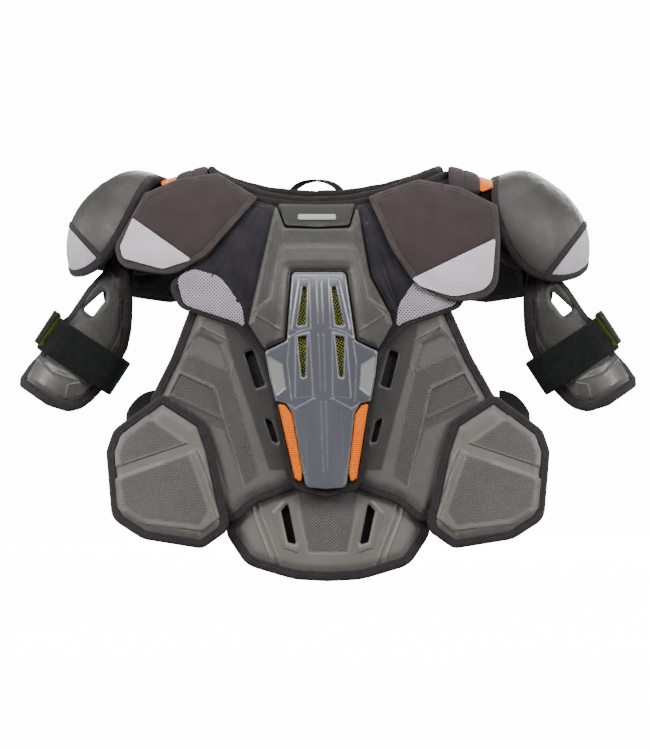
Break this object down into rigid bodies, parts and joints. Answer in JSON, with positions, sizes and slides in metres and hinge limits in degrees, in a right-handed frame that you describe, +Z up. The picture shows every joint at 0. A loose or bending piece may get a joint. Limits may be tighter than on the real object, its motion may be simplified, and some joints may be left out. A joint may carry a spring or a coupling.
{
  "type": "hockey shoulder pads",
  "caption": "Ice hockey shoulder pads with ribbed shoulder caps, chest bib with sternum plate, rib and belly guards, clavicle flaps and strapped bicep guards.",
  "frame": {"origin": "at the base of the wearer's neck, midway between the shoulders, where the pads sit on the wearer", "axes": "+Z up, -Y towards the wearer's front, +X towards the wearer's left, along the shoulders"},
  "size_m": [0.7522, 0.3322, 0.5047],
  "materials": {
    "moulded_foam": "satin, finely textured moulded foam",
    "dark_moulded": "satin, textured",
    "moulded_plastic": "satin",
    "clear_plastic": "semi-gloss, smoky",
    "light_plastic": "semi-gloss",
    "dark_cloth": "matt knit",
    "purple_cloth": "matt knit",
    "black_liner": "matt brushed",
    "dark_mesh": "matt mesh",
    "white_mesh": "matt mesh",
    "lime_mesh": "matt mesh",
    "orange": "textured",
    "webbing": "matt woven",
    "elastic": "matt woven"
  },
  "bodies": {
    "torso": {"collar_roll": "dark_cloth", "hang_loop": "webbing", "bib_pad": "purple_cloth", "sternum_surround": "moulded_foam", "badge_panel": "dark_moulded", "badge_bar": "light_plastic", "sternum_plate": "clear_plastic", "sternum_mesh": "lime_mesh", "back_pad": "black_liner", "back_liner": "dark_mesh", "spine_plate": "moulded_plastic", "hang_loop_anchor": "webbing", "left_sternum_insert": "orange", "left_chest_panel": "moulded_foam", "left_chest_liner": "black_liner", "left_wing_mesh": "white_mesh", "left_yoke_pad": "dark_cloth", "left_cap_hinge_strap": "orange", "left_blade_pad": "moulded_foam", "left_kidney_pad": "moulded_foam", "left_waist_strap": "elastic", "right_sternum_insert": "orange", "right_chest_panel": "moulded_foam", "right_chest_liner": "black_liner", "right_wing_mesh": "white_mesh", "right_yoke_pad": "dark_cloth", "right_cap_hinge_strap": "orange", "right_blade_pad": "moulded_foam", "right_kidney_pad": "moulded_foam", "right_waist_strap": "elastic"},
    "left_shoulder_cap": {"left_cap_shell": "moulded_foam", "left_cap_liner": "black_liner"},
    "left_upper_sleeve": {"left_arm_sleeve": "dark_cloth"},
    "left_arm_guard": {"left_bicep_guard": "moulded_foam", "left_bicep_liner": "black_liner", "left_bicep_strap": "elastic", "left_strap_loop": "lime_mesh"},
    "left_clavicle_flap": {"left_flap_pad": "dark_cloth", "left_flap_mesh": "white_mesh"},
    "left_rib_guard": {"left_rib_pad": "moulded_foam", "left_rib_liner": "black_liner"},
    "right_shoulder_cap": {"right_cap_shell": "moulded_foam", "right_cap_liner": "black_liner"},
    "right_upper_sleeve": {"right_arm_sleeve": "dark_cloth"},
    "right_arm_guard": {"right_bicep_guard": "moulded_foam", "right_bicep_liner": "black_liner", "right_bicep_strap": "elastic", "right_strap_loop": "lime_mesh"},
    "right_clavicle_flap": {"right_flap_pad": "dark_cloth", "right_flap_mesh": "white_mesh"},
    "right_rib_guard": {"right_rib_pad": "moulded_foam", "right_rib_liner": "black_liner"},
    "belly_guard": {"belly_pad": "moulded_foam", "belly_liner": "black_liner"}
  },
  "joints": [
    {"name": "left_cap_raise", "type": "hinge", "parent": "torso", "child": "left_shoulder_cap", "pos_m": [0.197, 0, 0.026], "axis": [0, -1, 0], "range_deg": [0, 45]},
    {"name": "left_sleeve_swing", "type": "hinge", "parent": "left_shoulder_cap", "child": "left_upper_sleeve", "pos_m": [0.214, -0.043, -0.064], "axis": [0, -1, 0], "range_deg": [0, 8]},
    {"name": "left_guard_flex", "type": "hinge", "parent": "left_upper_sleeve", "child": "left_arm_guard", "pos_m": [0.245, -0.05, -0.112], "axis": [0.8387, 0, 0.5446], "range_deg": [-15, 20]},
    {"name": "left_flap_lift", "type": "hinge", "parent": "torso", "child": "left_clavicle_flap", "pos_m": [0.1565, -0.0944, 0.01], "axis": [-0.937, 0.1499, 0.3156], "range_deg": [0, 35]},
    {"name": "left_rib_swing", "type": "hinge", "parent": "torso", "child": "left_rib_guard", "pos_m": [0.148, -0.149, -0.265], "axis": [-0.2403, -0.0521, -0.9693], "range_deg": [0, 25], "stiffness_Nm_per_rad": 0.3},
    {"name": "right_cap_raise", "type": "hinge", "parent": "torso", "child": "right_shoulder_cap", "pos_m": [-0.197, 0, 0.026], "axis": [0, 1, 0], "range_deg": [0, 45]},
    {"name": "right_sleeve_swing", "type": "hinge", "parent": "right_shoulder_cap", "child": "right_upper_sleeve", "pos_m": [-0.214, -0.043, -0.064], "axis": [0, 1, 0], "range_deg": [0, 8]},
    {"name": "right_guard_flex", "type": "hinge", "parent": "right_upper_sleeve", "child": "right_arm_guard", "pos_m": [-0.245, -0.05, -0.112], "axis": [0.8387, 0, -0.5446], "range_deg": [-15, 20]},
    {"name": "right_flap_lift", "type": "hinge", "parent": "torso", "child": "right_clavicle_flap", "pos_m": [-0.177, -0.0825, 0.0215], "axis": [-0.9551, -0.1194, -0.2713], "range_deg": [0, 35]},
    {"name": "right_rib_swing", "type": "hinge", "parent": "torso", "child": "right_rib_guard", "pos_m": [-0.148, -0.149, -0.265], "axis": [-0.2403, 0.0521, 0.9693], "range_deg": [0, 25], "stiffness_Nm_per_rad": 0.3},
    {"name": "belly_height", "type": "slide", "parent": "torso", "child": "belly_guard", "axis": [0, 0, 1], "range_m": [0, 0.03]}
  ]
}
